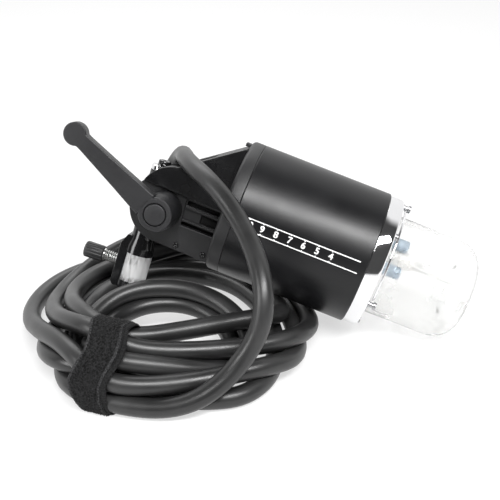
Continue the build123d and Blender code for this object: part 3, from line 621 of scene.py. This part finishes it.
# ---- Stand adapter -------------------------------------------------------------------------------------
# A die-cast tube lacquered gloss black, with the lug that the cheeks clamp and a receiver for the stand's
# stud. A nickelled collar and a black plug close its top; a blank white wrap goes round the receiver.
TUBE = HEAD @ Matrix.Translation((PIVOT_X, 0, PIVOT_Z)) @ Matrix.Rotation(radians(-3.3), 4, "Y") \
    @ Matrix.Translation((-11.7, 0, 0))
gloss_black = finish("gloss_black", (0.0075, 0.0075, 0.008), 0.16, grain=700, bump=0.03, uneven=0.06,
                     Specular_IOR_Level=0.6)


def turned_z(profile, steps=64):
    """A shape turned about Z from its (radius, z) outline."""
    shape = bmesh.new()
    points = [shape.verts.new((r, 0, z)) for r, z in profile]
    edges = [shape.edges.new(pair) for pair in zip(points, points[1:] + points[:1])]
    bmesh.ops.spin(shape, geom=points + edges, axis=(0, 0, 1), cent=(0, 0, 0), angle=2 * pi, steps=steps,
                   use_merge=True)
    bmesh.ops.remove_doubles(shape, verts=shape.verts, dist=1e-4)
    bmesh.ops.recalc_face_normals(shape, faces=shape.faces)
    return shape


barrel_of_tube = turned_z([(0, 23.3), (8.8, 23.3), (8.8, -29), (8.95, -30), (10.55, -36.4), (10.7, -37.4),
                           (10.7, -70.3), (10.0, -71), (8.7, -71), (8.1, -70.4), (8.1, -37), (0, -37)], 96)
rib_line = [(-6, -29.4), (-10.5, -29.4), (-14.3, -37), (-14.3, -68.5), (-12.2, -70.8), (-8.6, -70.8),
            (-8.6, -40), (-6, -36)]
rib = plate_of(rib_line, -6.3, 6.3)
lug_shape = turned_y([(4.05, -9.5), (13.5, -9.5), (13.5, 9.5), (4.05, 9.5)], 64, 11.7, 0)
made(join(barrel_of_tube, rib, lug_shape), "adapter_tube", gloss_black, body="adapter",
     stands_for=("stand_adapter",), edge=0.0007, place=TUBE)
made(turned_z([(0, 23.3), (8.8, 23.3), (8.8, 26.5), (8.0, 27.3), (0, 27.3)]), "adapter_band", chrome,
     body="adapter", stands_for=("adapter_collar",), edge=0.0002, place=TUBE)
made(turned_z([(0, 27.3), (4.7, 27.3), (4.7, 30.7), (4.1, 31.3), (2.0, 31.3), (2.0, 30.2), (0, 30.2)]),
     "adapter_plug", gloss_black, body="adapter", stands_for=("adapter_cap",), place=TUBE)
paper = finish("paper_wrap", (0.80, 0.80, 0.80), 0.45, grain=1600, bump=0.06, vary=0.02)
wrap_shape = bmesh.new()
WRAP_R = 10.82
WRAP_FROM, WRAP_TO = -42.5, -64.0    # along the tube
WRAP_STARTS, WRAP_ENDS = -131.0, 35.0            # degrees round it
sheet = bmesh.ops.create_grid(wrap_shape, x_segments=40, y_segments=4, size=0.5)
for vert in sheet["verts"]:
    angle = radians(WRAP_STARTS + (vert.co.x + 0.5) * (WRAP_ENDS - WRAP_STARTS))
    vert.co = (WRAP_R * cos(angle), WRAP_R * sin(angle),
               WRAP_FROM + (vert.co.y + 0.5) * (WRAP_TO - WRAP_FROM))
bmesh.ops.solidify(wrap_shape, geom=wrap_shape.faces[:], thickness=0.07)
made(wrap_shape, "blank_wrap", paper, body="adapter", place=TUBE)

# ---- Stand lock ----------------------------------------------------------------------------------------
# A fluted knob on a screw through the receiver's rib. A nickelled spring under the knob's washer keeps it
# from working loose.
LOCK = TUBE @ Matrix.Translation((0, 0, -52)) @ Matrix.Rotation(radians(-90), 4, "Y")
made(turned_z([(0, 8.4), (2.6, 8.4), (3.0, 8.9), (3.0, 28.4), (0, 28.4)], 32), "lock_thread", steel,
     body="lock",
     stands_for=("lock_screw",), place=LOCK)
knob = bmesh.new()
KNOB_R, FLUTE = 6.2, 0.65
rings = []
for at, grow in ((25.5, -0.5), (26.2, 0), (38.9, 0), (39.9, -0.35), (40.5, -1.3)):
    ring_verts = []
    for k in range(96):
        angle = 2 * pi * k / 96
        dip = FLUTE * max(0.0, cos(12 * angle)) ** 2 if at > 27 or grow == 0 else 0.0
        radius = KNOB_R + grow - dip
        ring_verts.append(knob.verts.new((radius * cos(angle), radius * sin(angle), at)))
    rings.append([knob.edges.new((ring_verts[k - 1], ring_verts[k])) for k in range(96)])
for one, two in zip(rings, rings[1:]):
    bmesh.ops.bridge_loops(knob, edges=one + two)
for end in (rings[0], rings[-1]):
    bmesh.ops.holes_fill(knob, edges=end, sides=0)
soft_black = finish("knob_black", (0.021, 0.021, 0.0215), 0.42, grain=1500, bump=0.15)
made(knob, "lock_grip", soft_black, body="lock", stands_for=("lock_knob",), place=LOCK)
made(turned_z([(3.06, 24.3), (4.9, 24.3), (4.9, 25.5), (3.06, 25.5)], 48), "lock_washer", steel,
     body="lock_slide", stands_for=("spring_washer",), edge=0.0002, place=LOCK)
coil_line = bpy.data.curves.new("lock_coil", "CURVE")
coil_line.dimensions = "3D"
wire = coil_line.splines.new("POLY")
SPRING_TURNS, PER_TURN, SPRING_R = 7, 28, 3.75
SPRING_FROM, SPRING_TO = 11.85, 23.8
wire.points.add(SPRING_TURNS * PER_TURN)
for k, point in enumerate(wire.points):
    angle = 2 * pi * k / PER_TURN
    along = SPRING_FROM + (SPRING_TO - SPRING_FROM) * k / (SPRING_TURNS * PER_TURN)
    point.co = (SPRING_R * cos(angle), SPRING_R * sin(angle), along, 1)
coil_line.bevel_depth = 0.5
coil_line.bevel_resolution = 3
coil_line.use_fill_caps = True
drawn = bpy.data.objects.new("lock_coil", coil_line)
spring = bmesh.new()
spring.from_mesh(bpy.data.meshes.new_from_object(drawn))
bpy.data.objects.remove(drawn)
made(spring, "lock_coil", steel, body="lock_slide", stands_for=("lock_spring",), place=LOCK)

# ---- Cable gland and strain relief ---------------------------------------------------------------------
# A hexagon nut clamps the cable in the rear cap's far side; a tapered rubber sleeve with ribs keeps the
# cable from bending sharply behind it.
GLAND = HEAD @ Matrix.Translation((-10, 30, -26)) @ Matrix.Rotation(radians(-90), 4, "Y")
hexagon = bmesh.new()
bmesh.ops.create_cone(hexagon, cap_ends=True, segments=6, radius1=9.4, radius2=9.4, depth=4.0,
                      matrix=Matrix.Translation((0, 0, 2.0)))
gland = join(hexagon, turned_z([(6.76, 4.0), (8.2, 4.0), (8.2, 5.4), (7.8, 6.0), (6.76, 6.0)]))
made(gland, "gland_nut", black_plastic, stands_for=("cable_gland",), edge=0.0004,
     place=GLAND)
rubber = finish("cable_rubber", (0.0150, 0.0150, 0.0152), 0.38, grain=1400, bump=0.10, vary=0.35,
                uneven=0.07, Specular_IOR_Level=0.6)
sleeve_line = [(6.76, 0.2), (6.76, 25.9), (7.4, 25.9)]
RIB_STEP, TAPER = 2.6, 0.75
for step in range(7):
    at = 23.5 - step * RIB_STEP
    radius = 8.2 - (at - 6) / 20 * TAPER
    sleeve_line += [(radius, at + 0.9), (radius - 0.55, at + 0.5), (radius - 0.55, at - 0.3),
                    (radius, at - 0.7)]
sleeve_line += [(8.2, 6.1), (6.9, 6.1), (6.9, 0.2)]
made(turned_z(sleeve_line), "relief_sleeve", rubber, stands_for=("strain_relief",),
     place=GLAND)

# ---- Lamp cable ----------------------------------------------------------------------------------------
# One length of thick rubber cable of 13.5 mm. It leaves the cap on its far side and comes over the bracket
# and down its near side, goes seven times through the strap in loose turns, and ends in its plug.
CABLE_D = 0.0135
CABLE_POINTS = [
    (-0.0627, 0.0402, 0.0643), (-0.0718, 0.0422, 0.0664), (-0.0802, 0.0464, 0.0740), (-0.0834, 0.0514, 0.0855),
    (-0.0797, 0.0551, 0.0975), (-0.0736, 0.0529, 0.1083), (-0.0694, 0.0433, 0.1159), (-0.0672, 0.0307, 0.1195),
    (-0.0652, 0.0170, 0.1221), (-0.0591, -0.0096, 0.1270), (-0.0482, -0.0305, 0.1259), (-0.0370, -0.0438, 0.1186),
    (-0.0264, -0.0583, 0.1085), (-0.0175, -0.0761, 0.0981), (-0.0117, -0.0936, 0.0879), (-0.0093, -0.1058, 0.0768),
    (-0.0099, -0.1122, 0.0640), (-0.0141, -0.1156, 0.0501), (-0.0229, -0.1194, 0.0358), (-0.0368, -0.1272, 0.0223),
    (-0.0548, -0.1341, 0.0128), (-0.0766, -0.1343, 0.0076), (-0.1034, -0.1287, 0.0075), (-0.1231, -0.1214, 0.0094),
    (-0.1361, -0.1113, 0.0090), (-0.1451, -0.0958, 0.0070), (-0.1490, -0.0735, 0.0070), (-0.1465, -0.0452, 0.0110),
    (-0.1393, -0.0142, 0.0151), (-0.1282, 0.0152, 0.0147), (-0.1101, 0.0385, 0.0115), (-0.0852, 0.0511, 0.0085),
    (-0.0572, 0.0501, 0.0071), (-0.0317, 0.0350, 0.0070), (-0.0127, 0.0079, 0.0070), (-0.0014, -0.0270, 0.0070),
    (0.0013, -0.0644, 0.0070), (-0.0055, -0.0976, 0.0070), (-0.0218, -0.1185, 0.0070), (-0.0450, -0.1235, 0.0070),
    (-0.0728, -0.1206, 0.0070), (-0.1007, -0.1157, 0.0072), (-0.1194, -0.1089, 0.0070), (-0.1301, -0.0965, 0.0071),
    (-0.1363, -0.0799, 0.0117), (-0.1372, -0.0602, 0.0187), (-0.1291, -0.0415, 0.0262), (-0.1137, -0.0264, 0.0321),
    (-0.0916, -0.0188, 0.0343), (-0.0650, -0.0194, 0.0335), (-0.0393, -0.0304, 0.0286), (-0.0213, -0.0496, 0.0190),
    (-0.0174, -0.0732, 0.0116), (-0.0293, -0.0935, 0.0122), (-0.0527, -0.1063, 0.0191), (-0.0794, -0.1137, 0.0272),
    (-0.1033, -0.1153, 0.0319), (-0.1191, -0.1075, 0.0327), (-0.1267, -0.0914, 0.0290), (-0.1267, -0.0751, 0.0239),
    (-0.1221, -0.0565, 0.0202), (-0.1132, -0.0350, 0.0198), (-0.0936, -0.0203, 0.0212), (-0.0666, -0.0190, 0.0206),
    (-0.0428, -0.0310, 0.0165), (-0.0305, -0.0528, 0.0099), (-0.0313, -0.0736, 0.0070), (-0.0438, -0.0892, 0.0070),
    (-0.0629, -0.0976, 0.0094), (-0.0820, -0.1006, 0.0127), (-0.0986, -0.1019, 0.0158), (-0.1150, -0.1033, 0.0184),
    (-0.1347, -0.1031, 0.0204), (-0.1537, -0.0895, 0.0187), (-0.1638, -0.0654, 0.0107), (-0.1640, -0.0375, 0.0070),
    (-0.1549, -0.0054, 0.0070), (-0.1375, 0.0273, 0.0070), (-0.1123, 0.0533, 0.0070), (-0.0806, 0.0655, 0.0070),
    (-0.0467, 0.0614, 0.0070), (-0.0169, 0.0425, 0.0070), (0.0038, 0.0126, 0.0070), (0.0136, -0.0228, 0.0070),
    (0.0168, -0.0565, 0.0073), (0.0117, -0.0834, 0.0134), (-0.0059, -0.1020, 0.0199), (-0.0319, -0.1126, 0.0197),
    (-0.0590, -0.1213, 0.0194), (-0.0848, -0.1258, 0.0197), (-0.1070, -0.1262, 0.0217), (-0.1230, -0.1204, 0.0276),
    (-0.1355, -0.1060, 0.0335), (-0.1505, -0.0855, 0.0315), (-0.1672, -0.0601, 0.0228), (-0.1806, -0.0301, 0.0128),
    (-0.1854, 0.0026, 0.0073), (-0.1771, 0.0350, 0.0070), (-0.1548, 0.0619, 0.0072), (-0.1211, 0.0788, 0.0072),
    (-0.0812, 0.0828, 0.0070), (-0.0415, 0.0737, 0.0070), (-0.0083, 0.0527, 0.0070), (0.0140, 0.0220, 0.0070),
    (0.0250, -0.0124, 0.0082), (0.0259, -0.0430, 0.0162), (0.0182, -0.0663, 0.0230), (-0.0001, -0.0826, 0.0260),
    (-0.0297, -0.0920, 0.0270), (-0.0652, -0.0977, 0.0280), (-0.0952, -0.1009, 0.0321), (-0.1127, -0.0977, 0.0404),
    (-0.1269, -0.0902, 0.0434), (-0.1412, -0.0757, 0.0385), (-0.1538, -0.0551, 0.0301), (-0.1635, -0.0292, 0.0209),
    (-0.1665, 0.0006, 0.0136), (-0.1593, 0.0313, 0.0127), (-0.1408, 0.0572, 0.0191), (-0.1127, 0.0732, 0.0283),
    (-0.0798, 0.0756, 0.0331), (-0.0478, 0.0639, 0.0298), (-0.0224, 0.0407, 0.0224), (-0.0055, 0.0114, 0.0167),
    (0.0043, -0.0164, 0.0167), (0.0050, -0.0381, 0.0228), (-0.0090, -0.0534, 0.0290), (-0.0355, -0.0642, 0.0305),
    (-0.0668, -0.0750, 0.0303), (-0.0936, -0.0862, 0.0325), (-0.1105, -0.0861, 0.0355), (-0.1222, -0.0776, 0.0379),
    (-0.1325, -0.0643, 0.0375), (-0.1426, -0.0456, 0.0327), (-0.1507, -0.0202, 0.0248), (-0.1522, 0.0081, 0.0191),
    (-0.1424, 0.0344, 0.0173), (-0.1210, 0.0557, 0.0174), (-0.0921, 0.0710, 0.0190), (-0.0725, 0.0788, 0.0202),
    (-0.0530, 0.0850, 0.0186), (-0.0360, 0.0888, 0.0124), (-0.0210, 0.0908, 0.0096), (-0.0070, 0.0932, 0.0136),
    (0.0060, 0.0958, 0.0186), (0.0180, 0.0981, 0.0193),
]
cable_curve = bpy.data.curves.new("lamp_cable", "CURVE")
cable_curve.dimensions = "3D"
line = cable_curve.splines.new("NURBS")
line.points.add(len(CABLE_POINTS) - 1)
for point, (x, y, z) in zip(line.points, CABLE_POINTS):
    point.co = (x, y, z, 1)
line.order_u = 3
line.use_endpoint_u = True
line.resolution_u = 6
cable_curve.bevel_depth = CABLE_D / 2
cable_curve.bevel_resolution = 6
cable_curve.use_fill_caps = True
cable_curve.materials.append(rubber)
cable = bpy.data.objects.new("lamp_cable", cable_curve)
bpy.context.collection.objects.link(cable)

# ---- Plug ----------------------------------------------------------------------------------------------
# The connector that goes to the power pack: a moulded grip, a knurled locking ring and seven pins in an
# insulating disc inside its skirt. It lies on the floor behind the barrel.
PLUG = Matrix.Translation((0.018, 0.098, 0.0192)) @ Matrix.Rotation(radians(10.62), 4, "Z") \
    @ Matrix.Rotation(radians(90), 4, "Y") @ MM
grip = turned_z([(0, 0), (8.25, 0), (8.6, 1.0), (14.5, 24), (14.5, 50), (17.5, 50), (17.5, 53), (14.5, 53),
                 (14.5, 79), (15.5, 79), (15.5, 83), (12.5, 83), (12.5, 72.5), (0, 72.5)], 96)
made(grip, "plug_grip", gloss_black, edge=0.0005, place=PLUG)
pins = []
for k in range(7):
    angle = 2 * pi * k / 7
    pin = turned_z([(0, 72.0), (1.6, 72.0), (1.6, 80.6), (1.0, 81.4), (0, 81.4)], 24)
    bmesh.ops.translate(pin, verts=pin.verts, vec=(7.5 * cos(angle), 7.5 * sin(angle), 0))
    pins.append(pin)
made(join(*pins), "plug_pins", steel, stands_for=("plug_body",), place=PLUG)
collar_line = [(14.9, 53.6), (18.4, 53.6), (19.0, 54.2)]
for k in range(10):
    at = 56.0 + k * 2.2
    collar_line += [(19.0, at - 0.5), (18.5, at), (19.0, at + 0.5)]
collar_line += [(19.0, 77.9), (18.4, 78.5), (14.9, 78.5)]
dark_metal = finish("plug_metal", (0.09, 0.09, 0.095), 0.34, grain=1500, bump=0.1, metallic=1.0)
made(turned_z(collar_line, 96), "plug_collar", dark_metal, body="plug_ring",
     stands_for=("plug_ring",), place=PLUG)

# ---- Strap ---------------------------------------------------------------------------------------------
# A hook-and-loop tie wrapped round the strands and lapped over itself. Its outer side is brushed loop pile,
# with a denser woven edge along each side, and the lap under it shows at the right.
STRAP = Matrix.Translation((-0.115, -0.101, 0)) @ Matrix.Rotation(radians(-20.0), 4, "Z") @ MM
# the bundle's outline at the strap: (across, up), from its front foot round the back
BUNDLE = [(-28.0, 7.4), (-27.2, 2.9), (-22.5, 0.9), (-8, 0.8), (5, 0.8), (15, 8), (22, 22.0),
          (25.2, 33), (22.2, 42), (14, 46.0), (3.5, 47.8), (-7, 43.6), (-20, 35.4), (-26.6, 31),
          (-28.4, 20)]
band = bpy.data.curves.new("band", "CURVE")
band.dimensions = "3D"
loop = band.splines.new("NURBS")
loop.points.add(len(BUNDLE) - 1)
for point, (across, up) in zip(loop.points, BUNDLE):
    point.co = (0, across, up, 1)
loop.order_u = 4
loop.use_cyclic_u = True
loop.resolution_u = 24
drawn = bpy.data.objects.new("band", band)
girth = [vert.co.copy() for vert in bpy.data.meshes.new_from_object(drawn).vertices]
bpy.data.objects.remove(drawn)
BUNDLE_MIDDLE = Vector((0, -1.5, 22))
FOOT_NARROWS = 0.32                  # how much narrower the tie is pulled at its front foot
TOP_SLIDES, FOOT_SLIDES = 8.5, 8.0   # how far it slants along the strands there
TIE_WALL = 0.0008


def wrapped(half_width, slide, lift, pile, strips):
    """One lap of the tie round the strands, with stitched edges and a raised pile."""
    shape = bmesh.new()
    laps = []
    for k in range(strips + 1):
        share = 2 * k / strips - 1
        verts = []
        for n, spot in enumerate(girth):
            front = min(1.0, max(0.0, (6 - spot.y) / 20))
            top = min(1.0, max(0.0, (spot.z - 24) / 22))
            foot = min(1.0, max(0.0, (20 - spot.z) / 19))
            u = (share * half_width + slide) * (1 - FOOT_NARROWS * foot * front)
            u += front * (TOP_SLIDES * top + FOOT_SLIDES * foot**2)
            outward = (Vector((0, spot.y, spot.z)) - BUNDLE_MIDDLE).normalized()
            edge = max(0.0, (abs(share) - 0.80) / 0.20)
            here = Vector((u, spot.y, spot.z))
            nap = noise.noise(here * 1.1) + 0.6 * noise.noise(here * 2.3)
            stitch = 0.22 * sin(2 * pi * n / 4) if 0.15 < edge < 0.75 else 0.0
            slack = noise.noise(Vector((u * 0.05, spot.y * 0.06, spot.z * 0.06 + lift))) * 0.8
            raised_pile = pile * nap * (1 - edge) if edge < 1 else 0.0
            height = lift + slack + raised_pile + stitch - 0.55 * edge**2
            place = Vector((u, spot.y, spot.z - 0.055 * u * top)) + outward * height
            place.z = max(place.z, 0.35)
            verts.append(shape.verts.new(place))
        laps.append([shape.edges.new((verts[i - 1], verts[i])) for i in range(len(verts))])
    for one, two in zip(laps, laps[1:]):
        bmesh.ops.bridge_loops(shape, edges=one + two)
    return shape


loop_pile = finish("loop_pile", (0.0085, 0.0085, 0.0088), 0.9, grain=750, bump=1.0, vary=0.98,
                   speckled=True, Sheen_Weight=0.06, Sheen_Roughness=0.4, Specular_IOR_Level=0.2)
hook_side = finish("strap_fabric", (0.0060, 0.0060, 0.0063), 0.8, grain=1100, bump=0.7, vary=0.9,
                   speckled=True, Sheen_Weight=0.05, Sheen_Roughness=0.4, Specular_IOR_Level=0.25)
selvedge = finish("woven_edge", (0.020, 0.020, 0.021), 0.75, grain=1000, bump=0.8, vary=0.8,
                  speckled=True, Specular_IOR_Level=0.3)
tie = made(wrapped(12.4, 0.0, 2.2, 0.75, 60), "tie_strap", loop_pile,
           stands_for=("strap",), place=STRAP)
under_lap = made(wrapped(11.5, 4.2, 1.4, 0.12, 24), "tie_strap_under", hook_side,
                 place=STRAP)
edges = [made(wrapped(1.1, slide, 2.3, 0.25, 8), "woven_edge_" + side, selvedge,
              place=STRAP) for side, slide in (("left", -11.2), ("right", 10.4))]
for lap in (tie, under_lap, *edges):
    wall = lap.modifiers.new("wall", "SOLIDIFY")
    wall.thickness = TIE_WALL
    wall.offset = -1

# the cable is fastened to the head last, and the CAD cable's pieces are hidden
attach(cable, "head")
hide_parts("cable_bridge", "cable_coil", "cable_tail")
